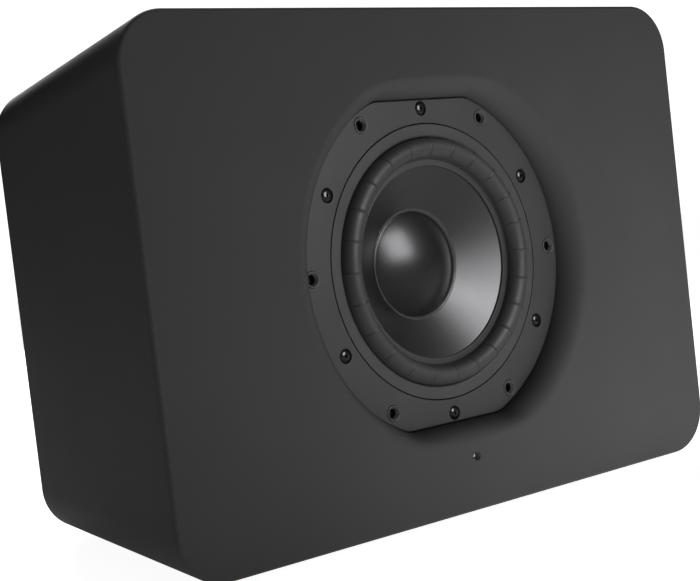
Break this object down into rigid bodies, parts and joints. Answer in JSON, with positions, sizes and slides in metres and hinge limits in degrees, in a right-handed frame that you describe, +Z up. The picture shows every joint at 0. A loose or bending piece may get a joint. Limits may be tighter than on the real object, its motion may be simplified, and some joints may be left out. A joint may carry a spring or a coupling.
{
  "type": "subwoofer",
  "caption": "Slim closed-box powered subwoofer with a front-firing driver set in a rounded recess and a recessed rear amplifier panel.",
  "frame": {"origin": "centre of the footprint at floor level", "axes": "+Z up, the front with the driver faces -Y, +X to the right of someone facing the front"},
  "size_m": [0.485, 0.16, 0.339],
  "materials": {
    "cabinet_lacquer": "fine-grained satin black lacquer on fibreboard",
    "rear_lacquer": "satin black lacquer on fibreboard",
    "raw_board": "bare fibreboard",
    "felt": "grey polyester felt",
    "foot_rubber": "matt black rubber",
    "basket_coat": "satin black powder coat",
    "gasket_foam": "closed-cell foam",
    "trim_plastic": "finely textured black plastic",
    "surround_rubber": "satin black rubber",
    "cone_satin": "smooth satin dark grey",
    "dust_cap_satin": "smooth satin dark grey",
    "former_film": "amber film",
    "copper_wire": "enamelled copper",
    "spider_cloth": "resin-treated cloth",
    "plated_steel": "zinc-plated steel",
    "ferrite": "fired ferrite",
    "black_plastic": "moulded black",
    "cable_pvc": "soft cable jacket",
    "black_screw": "glossy black oxide",
    "socket_plastic": "satin black moulding",
    "panel_coat": "fine black powder coat",
    "anodised_alu": "black anodised",
    "rocker_plastic": "gloss black",
    "knob_plastic": "fine satin black",
    "button_plastic": "satin dark grey",
    "circuit_board": "green solder mask",
    "plated_brass": "gold-plated",
    "clear_lens": "clear moulded lens"
  },
  "bodies": {
    "cabinet_body": {"front_baffle": "cabinet_lacquer", "cabinet_wrap": "cabinet_lacquer", "rear_panel": "rear_lacquer", "brace_left": "raw_board", "brace_right": "raw_board", "damping_left": "felt", "damping_right": "felt", "foot_front_left": "foot_rubber", "foot_front_right": "foot_rubber", "foot_rear_left": "foot_rubber", "foot_rear_right": "foot_rubber", "basket": "basket_coat", "flange_gasket": "gasket_foam", "trim_ring": "trim_plastic", "surround": "surround_rubber", "spider": "spider_cloth", "top_plate": "plated_steel", "magnet": "ferrite", "yoke": "plated_steel", "terminal_block": "black_plastic", "speaker_cable": "cable_pvc", "driver_screw_1": "black_screw", "driver_screw_2": "black_screw", "driver_screw_3": "black_screw", "driver_screw_4": "black_screw", "driver_screw_5": "black_screw", "driver_screw_6": "black_screw", "grille_socket_1": "socket_plastic", "grille_socket_2": "socket_plastic", "grille_socket_3": "socket_plastic", "grille_socket_4": "socket_plastic", "grille_socket_5": "socket_plastic", "grille_socket_6": "socket_plastic", "amp_panel": "panel_coat", "panel_screw_1": "black_screw", "panel_screw_2": "black_screw", "panel_screw_3": "black_screw", "panel_screw_4": "black_screw", "heat_sink": "anodised_alu", "mains_inlet": "black_plastic", "rocker_bezel": "black_plastic", "control_board": "circuit_board", "rca_left": "plated_brass", "rca_right": "plated_brass", "amp_board": "circuit_board", "transformer": "copper_wire", "led_lens": "clear_lens", "led_board": "circuit_board"},
    "cone_body": {"cone": "cone_satin", "dust_cap": "dust_cap_satin", "voice_coil_former": "former_film", "voice_coil_winding": "copper_wire"},
    "rocker_body": {"power_rocker": "rocker_plastic"},
    "level_knob_body": {"level_knob": "knob_plastic"},
    "crossover_knob_body": {"crossover_knob": "knob_plastic"},
    "phase_switch_body": {"phase_switch": "black_plastic"},
    "pair_button_body": {"pair_button": "button_plastic"}
  },
  "joints": [
    {"name": "cone_travel", "type": "slide", "parent": "cabinet_body", "child": "cone_body", "axis": [0, -1, 0], "range_m": [-0.008, 0.008], "stiffness_N_per_m": 1500, "deforming": ["surround", "spider"]},
    {"name": "power_rocker_tilt", "type": "hinge", "parent": "cabinet_body", "child": "rocker_body", "pos_m": [-0.018, 0.0685, 0.0935], "axis": [1, 0, 0], "range_deg": [0, 18]},
    {"name": "level_knob_turn", "type": "hinge", "parent": "cabinet_body", "child": "level_knob_body", "pos_m": [0.048, 0.0695, 0.2435], "axis": [0, -1, 0], "range_deg": [-150, 150]},
    {"name": "crossover_knob_turn", "type": "hinge", "parent": "cabinet_body", "child": "crossover_knob_body", "pos_m": [-0.048, 0.0695, 0.2435], "axis": [0, -1, 0], "range_deg": [-150, 150]},
    {"name": "phase_switch_slide", "type": "slide", "parent": "cabinet_body", "child": "phase_switch_body", "axis": [1, 0, 0], "range_m": [0, 0.004]},
    {"name": "pair_button_press", "type": "slide", "parent": "cabinet_body", "child": "pair_button_body", "axis": [0, -1, 0], "range_m": [0, 0.0012], "stiffness_N_per_m": 400}
  ]
}
